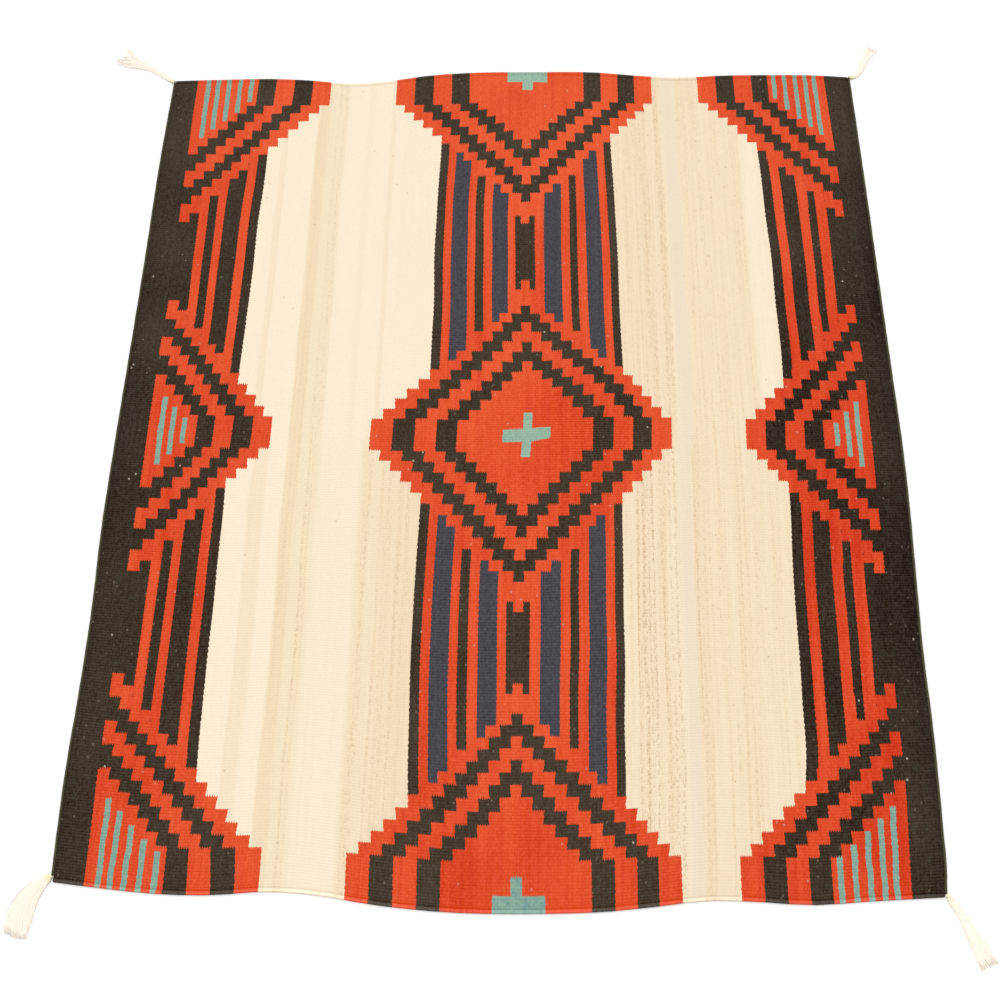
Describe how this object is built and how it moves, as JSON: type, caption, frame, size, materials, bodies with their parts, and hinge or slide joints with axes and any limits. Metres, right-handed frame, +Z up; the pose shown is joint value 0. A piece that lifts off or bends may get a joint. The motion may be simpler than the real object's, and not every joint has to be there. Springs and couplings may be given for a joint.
{
  "type": "flat-woven wool rug",
  "caption": "Flat-woven wool rug with stepped diamonds over stripes, rolled selvages, twined end cords and corner tassels.",
  "frame": {"origin": "middle of the rug on its flat underside, at floor level", "axes": "+Z up through the cloth, +Y along the longer way from the near selvage to the far selvage, +X to the right end"},
  "size_m": [1.3906, 1.5594, 0.0075],
  "materials": {
    "woven_wool": "matte weft-faced wool in cream, dark brown, red, blue and grey-green",
    "dark_end_cord": "matte twined dark wool cord",
    "tassel_yarn": "matte loose cream wool yarn"
  },
  "bodies": {
    "root": {"rug_cloth": "woven_wool", "end_cord_left": "dark_end_cord", "end_cord_right": "dark_end_cord", "tassel_top_left": "tassel_yarn", "tassel_top_right": "tassel_yarn", "tassel_bottom_left": "tassel_yarn", "tassel_bottom_right": "tassel_yarn"}
  },
  "joints": []
}
